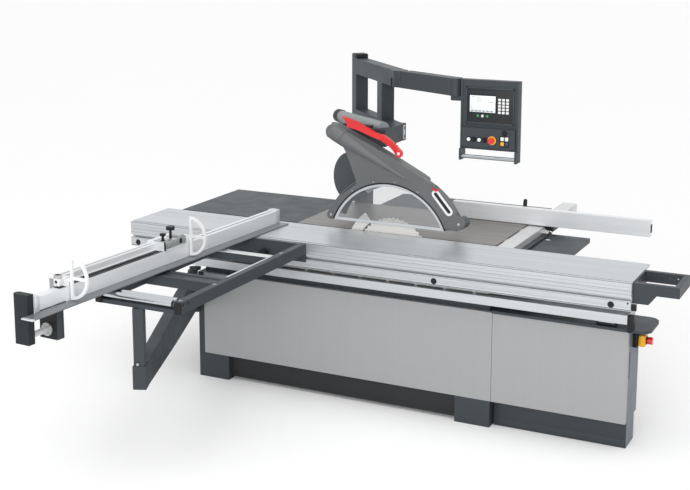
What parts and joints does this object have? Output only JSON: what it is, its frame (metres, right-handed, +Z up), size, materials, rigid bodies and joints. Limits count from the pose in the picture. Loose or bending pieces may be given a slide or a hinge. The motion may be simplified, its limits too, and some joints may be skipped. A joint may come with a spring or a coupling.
{
  "type": "sliding table saw",
  "caption": "Panel saw with a long sliding table, outrigger and crosscut fence, rip fence, tilting and lifting blade, swinging guard hood and overhead control panel.",
  "frame": {"origin": "on the floor, in the middle of the four floor anchors, under the blade's plane", "axes": "+X along the sliding table towards the infeed end, +Y towards the rip fence, +Z up"},
  "size_m": [3.23, 3.4614, 1.846],
  "materials": {
    "dark_paint": "fine textured dark grey paint",
    "panel_paint": "satin light grey paint",
    "cabinet_paint": "grey-blue paint",
    "aluminium": "anodised, brushed along its length",
    "iron": "ground, streaked along the feed",
    "chrome": "bright",
    "steel": "brushed",
    "black_plastic": "moulded",
    "white_plastic": "moulded",
    "guard_plastic": "moulded mid grey",
    "red_plastic": "moulded",
    "yellow_plastic": "moulded",
    "clear": "clear sheet",
    "belt": "ribbed"
  },
  "bodies": {
    "machine": {"stand_frame": "dark_paint", "front_panel_left": "panel_paint", "front_panel_right": "panel_paint", "infeed_cabinet": "cabinet_paint", "side_tray": "dark_paint", "estop_housing": "yellow_plastic", "slide_beam": "aluminium", "saw_table": "iron", "left_extension": "dark_paint", "rip_extension": "dark_paint", "rip_rail": "aluminium", "rail_shelf": "dark_paint", "guard_column": "dark_paint", "gantry_frame": "dark_paint", "tilt_trunnions": "dark_paint", "suction_pipe": "guard_plastic"},
    "sliding_table": {"sliding_table": "aluminium", "push_handle": "black_plastic"},
    "outrigger": {"outrigger_frame": "dark_paint", "outrigger_bracket": "dark_paint"},
    "crosscut_fence": {"crosscut_fence": "aluminium", "fence_base": "dark_paint"},
    "fence_extension": {"fence_extension": "aluminium", "extension_end_block": "black_plastic", "guide_tube": "chrome"},
    "lift_carriage": {"lift_carriage": "iron", "saw_motor": "dark_paint", "drive_belt": "belt", "riving_knife": "steel"},
    "saw_arbor": {"saw_arbor": "steel", "saw_blade": "steel"},
    "guard": {"guard_hood": "guard_plastic", "guard_window": "clear"},
    "control_panel": {"control_panel": "dark_paint", "panel_handle": "chrome"},
    "roller_cage": {"roller_cage": "steel"},
    "outrigger_knob": {"outrigger_knob": "black_plastic"},
    "load_roller_outer": {"load_roller_outer": "chrome"},
    "load_roller_inner": {"load_roller_inner": "chrome"},
    "clamp_knob": {"clamp_knob": "black_plastic"},
    "stop_slide_inner": {"stop_slide_inner": "white_plastic"},
    "stop_flag_inner": {"stop_flag_inner": "white_plastic"},
    "stop_slide_outer": {"stop_slide_outer": "white_plastic"},
    "stop_flag_outer": {"stop_flag_outer": "white_plastic"},
    "swing_arm": {"swing_arm": "dark_paint"},
    "support_post": {"support_post": "dark_paint"},
    "rip_carrier": {"rip_carrier": "black_plastic"},
    "rip_fence": {"rip_fence": "aluminium"},
    "rip_lever": {"rip_lever": "black_plastic"},
    "rip_knob": {"rip_knob": "chrome"},
    "saw_cradle": {"saw_cradle": "dark_paint"},
    "motor_pulley": {"motor_pulley": "steel"},
    "guard_lever": {"guard_lever": "red_plastic"},
    "panel_arm": {"panel_arm": "dark_paint"},
    "saw_start_button": {"saw_start_button": "white_plastic"},
    "saw_stop_button": {"saw_stop_button": "black_plastic"},
    "aux_start_button": {"aux_start_button": "white_plastic"},
    "aux_stop_button": {"aux_stop_button": "black_plastic"},
    "panel_estop": {"panel_estop": "red_plastic"},
    "cabinet_estop": {"cabinet_estop": "red_plastic"}
  },
  "joints": [
    {"name": "table_slide", "type": "slide", "parent": "machine", "child": "sliding_table", "axis": [1, 0, 0], "range_m": [-1.4, 1.4]},
    {"name": "cage_slide", "type": "slide", "parent": "machine", "child": "roller_cage", "axis": [1, 0, 0], "range_m": [-0.7, 0.7]},
    {"name": "outrigger_slide", "type": "slide", "parent": "sliding_table", "child": "outrigger", "axis": [1, 0, 0], "range_m": [-0.5, 0.55]},
    {"name": "outrigger_knob_turn", "type": "hinge", "parent": "outrigger", "child": "outrigger_knob", "pos_m": [-0.42, -0.43, 0.823], "axis": [0, 1, 0], "continuous": true},
    {"name": "load_roller_outer_spin", "type": "hinge", "parent": "outrigger", "child": "load_roller_outer", "pos_m": [-0.4, -1.632, 0.8875], "axis": [1, 0, 0], "continuous": true},
    {"name": "load_roller_inner_spin", "type": "hinge", "parent": "outrigger", "child": "load_roller_inner", "pos_m": [-0.4, -1.59, 0.8875], "axis": [1, 0, 0], "continuous": true},
    {"name": "fence_mitre", "type": "hinge", "parent": "outrigger", "child": "crosscut_fence", "pos_m": [-0.5715, -0.44, 0.92], "axis": [0, 0, 1], "range_deg": [-41.72, 3.28]},
    {"name": "clamp_knob_turn", "type": "hinge", "parent": "crosscut_fence", "child": "clamp_knob", "pos_m": [-0.60755, -1.06897, 1.06], "axis": [0, 0, 1], "continuous": true},
    {"name": "extension_slide", "type": "slide", "parent": "crosscut_fence", "child": "fence_extension", "axis": [-0.0572, -0.9984, 0], "range_m": [-0.11, 0]},
    {"name": "stop_inner_slide", "type": "slide", "parent": "crosscut_fence", "child": "stop_slide_inner", "axis": [-0.0572, -0.9984, 0], "range_m": [-0.55, 0]},
    {"name": "stop_outer_slide", "type": "slide", "parent": "crosscut_fence", "child": "stop_slide_outer", "axis": [-0.0572, -0.9984, 0], "range_m": [-0.68, 0]},
    {"name": "stop_inner_flip", "type": "hinge", "parent": "stop_slide_inner", "child": "stop_flag_inner", "pos_m": [-0.57849, -0.94643, 1.0163], "axis": [-0.0572, -0.9984, 0], "range_deg": [0, 90]},
    {"name": "stop_outer_flip", "type": "hinge", "parent": "stop_slide_outer", "child": "stop_flag_outer", "pos_m": [-0.63158, -1.87291, 1.0163], "axis": [-0.0572, -0.9984, 0], "range_deg": [0, 90]},
    {"name": "swing_arm_turn", "type": "hinge", "parent": "machine", "child": "swing_arm", "pos_m": [-0.935, -0.37, 0.5], "axis": [0, 0, 1], "range_deg": [-45.2, 45.2]},
    {"name": "support_post_slide", "type": "slide", "parent": "swing_arm", "child": "support_post", "axis": [0.3803, -0.9249, 0], "range_m": [0, 0.3]},
    {"name": "rip_carrier_slide", "type": "slide", "parent": "machine", "child": "rip_carrier", "axis": [0, 1, 0], "range_m": [-0.4, 0.56]},
    {"name": "rip_fence_slide", "type": "slide", "parent": "rip_carrier", "child": "rip_fence", "axis": [1, 0, 0], "range_m": [-0.3, 0.2]},
    {"name": "rip_lever_turn", "type": "hinge", "parent": "rip_carrier", "child": "rip_lever", "pos_m": [0.76, 0.64, 0.948], "axis": [-1, 0, 0], "range_deg": [0, 70]},
    {"name": "rip_knob_turn", "type": "hinge", "parent": "rip_carrier", "child": "rip_knob", "pos_m": [0.98, 0.665, 0.921], "axis": [1, 0, 0], "continuous": true},
    {"name": "saw_tilt", "type": "hinge", "parent": "machine", "child": "saw_cradle", "pos_m": [0, 0, 0.91], "axis": [-1, 0, 0], "range_deg": [0, 45]},
    {"name": "saw_lift", "type": "slide", "parent": "saw_cradle", "child": "lift_carriage", "axis": [0, 0, 1], "range_m": [-0.105, 0.05]},
    {"name": "arbor_spin", "type": "hinge", "parent": "lift_carriage", "child": "saw_arbor", "pos_m": [0.185, 0, 0.78], "axis": [0, 1, 0], "continuous": true},
    {"name": "motor_spin", "type": "hinge", "parent": "lift_carriage", "child": "motor_pulley", "pos_m": [0.455, 0.26, 0.65], "axis": [0, 1, 0], "continuous": true},
    {"name": "guard_swing", "type": "hinge", "parent": "machine", "child": "guard", "pos_m": [-0.193, 0, 1.477], "axis": [0, -1, 0], "range_deg": [0, 15]},
    {"name": "guard_lever_turn", "type": "hinge", "parent": "guard", "child": "guard_lever", "pos_m": [-0.12, 0, 1.54], "axis": [0, -1, 0], "range_deg": [0, 20]},
    {"name": "panel_arm_swing", "type": "hinge", "parent": "machine", "child": "panel_arm", "pos_m": [0.115, 0.25, 1.75], "axis": [0, 0, 1], "range_deg": [-30, 30]},
    {"name": "panel_swivel", "type": "hinge", "parent": "panel_arm", "child": "control_panel", "pos_m": [0.54, 0.04, 1.7], "axis": [0, 0, 1], "range_deg": [-25, 25]},
    {"name": "saw_start_press", "type": "slide", "parent": "control_panel", "child": "saw_start_button", "axis": [0, 1, 0], "range_m": [0, 0.004], "stiffness_N_per_m": 600},
    {"name": "saw_stop_press", "type": "slide", "parent": "control_panel", "child": "saw_stop_button", "axis": [0, 1, 0], "range_m": [0, 0.004], "stiffness_N_per_m": 600},
    {"name": "aux_start_press", "type": "slide", "parent": "control_panel", "child": "aux_start_button", "axis": [0, 1, 0], "range_m": [0, 0.004], "stiffness_N_per_m": 600},
    {"name": "aux_stop_press", "type": "slide", "parent": "control_panel", "child": "aux_stop_button", "axis": [0, 1, 0], "range_m": [0, 0.004], "stiffness_N_per_m": 600},
    {"name": "panel_estop_press", "type": "slide", "parent": "control_panel", "child": "panel_estop", "axis": [0, 1, 0], "range_m": [0, 0.004], "stiffness_N_per_m": 900},
    {"name": "cabinet_estop_press", "type": "slide", "parent": "machine", "child": "cabinet_estop", "axis": [-1, 0, 0], "range_m": [0, 0.005], "stiffness_N_per_m": 900}
  ],
  "couplings": [
    {"joint": "cage_slide", "follows": "table_slide", "ratio": 0.5},
    {"joint": "swing_arm_turn", "follows": "table_slide", "rad_per_m": 0.56},
    {"joint": "motor_spin", "follows": "arbor_spin", "ratio": 1}
  ]
}
